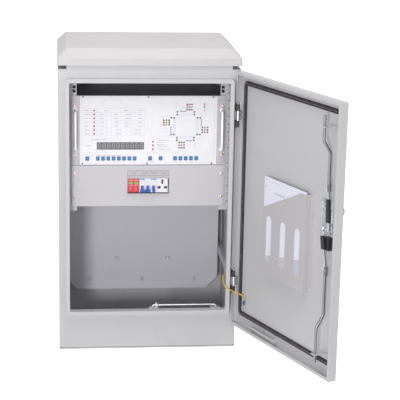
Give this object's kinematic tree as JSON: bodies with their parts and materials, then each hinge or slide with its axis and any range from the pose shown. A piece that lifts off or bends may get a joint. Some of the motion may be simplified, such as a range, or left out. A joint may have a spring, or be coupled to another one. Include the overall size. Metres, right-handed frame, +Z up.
{
  "type": "traffic signal controller cabinet",
  "caption": "Outdoor roadside steel enclosure with a hipped roof, an open gasketed door with rod lock, and a rack-mounted signal controller above a breaker panel.",
  "frame": {"origin": "centre of the base, midway between the four anchor holes, at the underside", "axes": "+X to the right seen from the front, +Y from the door to the back, +Z up"},
  "size_m": [0.8158, 0.9232, 0.972],
  "materials": {
    "enclosure_paint": "fine textured powder coat",
    "zinc_sheet": "galvanised sheet",
    "zinc_steel": "bright zinc plate",
    "case_sheet": "plain zinc sheet",
    "panel_paint": "smooth satin paint",
    "overlay_film": "satin printed film",
    "key_blue": "domed film keys",
    "readout_dark": "smoked window",
    "lamp_red": "clear red lens",
    "grip_chrome": "polished plate",
    "device_red": "moulded satin plastic",
    "device_white": "moulded satin plastic",
    "toggle_blue": "moulded plastic",
    "black_paint": "satin black",
    "black_plastic": "moulded plastic",
    "gasket_foam": "foamed rubber",
    "paper_white": "paper sheets",
    "lead_yellow": "flexible insulation",
    "sleeve_blue": "insulated crimp terminal"
  },
  "bodies": {
    "cabinet": {"cabinet_body": "enclosure_paint", "roof": "enclosure_paint", "roof_neck": "enclosure_paint", "rack_rail_left": "zinc_sheet", "rack_rail_right": "zinc_sheet", "side_bars": "enclosure_paint", "mounting_plate": "zinc_sheet", "plate_standoffs": "zinc_steel", "plate_nuts": "zinc_steel", "controller_case": "case_sheet", "controller_panel": "panel_paint", "controller_overlay": "overlay_film", "key_blisters": "key_blue", "readout_window": "readout_dark", "status_lamps": "lamp_red", "controller_grips": "grip_chrome", "rack_screws": "zinc_steel", "distribution_panel": "panel_paint", "label_holder": "overlay_film", "surge_protector": "device_red", "breaker_twin": "device_white", "breaker_single": "device_white", "socket_outlet": "device_white", "din_rail": "zinc_sheet", "din_rail_brackets": "zinc_sheet", "hinge_blocks": "black_paint", "hinge_pins": "zinc_steel", "stay_bracket": "zinc_sheet", "stay_clip": "zinc_sheet", "earth_lead": "lead_yellow", "body_lug": "zinc_steel", "body_earth_stud": "zinc_steel"},
    "door": {"door_pan": "enclosure_paint", "door_gasket": "gasket_foam", "hinge_leaves": "zinc_steel", "hinge_nuts": "zinc_steel", "lock_plate": "zinc_steel", "lock_case": "black_plastic", "handle_rose": "zinc_steel", "rod_guides": "zinc_steel", "document_pocket": "panel_paint", "pocket_rivets": "zinc_steel", "paper_stack": "paper_white", "stay_catch": "zinc_steel", "door_lug": "sleeve_blue", "door_earth_stud": "zinc_steel"},
    "lock_handle": {"door_lever": "zinc_steel", "lock_cam": "zinc_steel", "spindle_nut": "zinc_steel", "release_arm": "zinc_steel"},
    "upper_rod": {"upper_rod": "zinc_steel"},
    "lower_rod": {"lower_rod": "zinc_steel"},
    "upper_link": {"upper_link": "zinc_steel", "upper_link_sleeve": "black_plastic"},
    "lower_link": {"lower_link": "zinc_steel", "lower_link_sleeve": "black_plastic"},
    "stay": {"door_stay": "zinc_steel"},
    "twin_toggle": {"breaker_twin_toggle": "toggle_blue"},
    "single_toggle": {"breaker_single_toggle": "toggle_blue"}
  },
  "joints": [
    {"name": "door_swing", "type": "hinge", "parent": "cabinet", "child": "door", "pos_m": [0.274, -0.20875, 0.4945], "axis": [0, 0, 1], "range_deg": [-113.7, 1.3], "deforming": ["earth_lead"]},
    {"name": "handle_turn", "type": "hinge", "parent": "door", "child": "lock_handle", "pos_m": [0.49311, -0.65753, 0.532], "axis": [-0.9157, -0.4019, 0], "range_deg": [0, 90]},
    {"name": "upper_rod_slide", "type": "slide", "parent": "door", "child": "upper_rod", "axis": [0, 0, 1], "range_m": [0, 0.0163]},
    {"name": "lower_rod_slide", "type": "slide", "parent": "door", "child": "lower_rod", "axis": [0, 0, -1], "range_m": [0, 0.0179]},
    {"name": "upper_link_pivot", "type": "hinge", "parent": "upper_rod", "child": "upper_link", "pos_m": [0.47813, -0.67066, 0.647], "axis": [-0.9157, -0.4019, 0], "range_deg": [-7.96, 0]},
    {"name": "lower_link_pivot", "type": "hinge", "parent": "lower_rod", "child": "lower_link", "pos_m": [0.47813, -0.67066, 0.414], "axis": [-0.9157, -0.4019, 0], "range_deg": [-7.71, 0]},
    {"name": "stay_swing", "type": "hinge", "parent": "cabinet", "child": "stay", "pos_m": [0.221, -0.188, 0.135], "axis": [0, 0, 1], "range_deg": [0, 120]},
    {"name": "twin_toggle_turn", "type": "hinge", "parent": "cabinet", "child": "twin_toggle", "pos_m": [-0.01, -0.158, 0.524], "axis": [-1, 0, 0], "range_deg": [0, 60]},
    {"name": "single_toggle_turn", "type": "hinge", "parent": "cabinet", "child": "single_toggle", "pos_m": [0.017, -0.158, 0.524], "axis": [-1, 0, 0], "range_deg": [0, 60]}
  ],
  "couplings": [
    {"joint": "upper_rod_slide", "follows": "handle_turn", "m_per_rad": 0.010363},
    {"joint": "lower_rod_slide", "follows": "handle_turn", "m_per_rad": 0.011385},
    {"joint": "upper_link_pivot", "follows": "handle_turn", "ratio": -0.088333},
    {"joint": "lower_link_pivot", "follows": "handle_turn", "ratio": -0.085511}
  ]
}
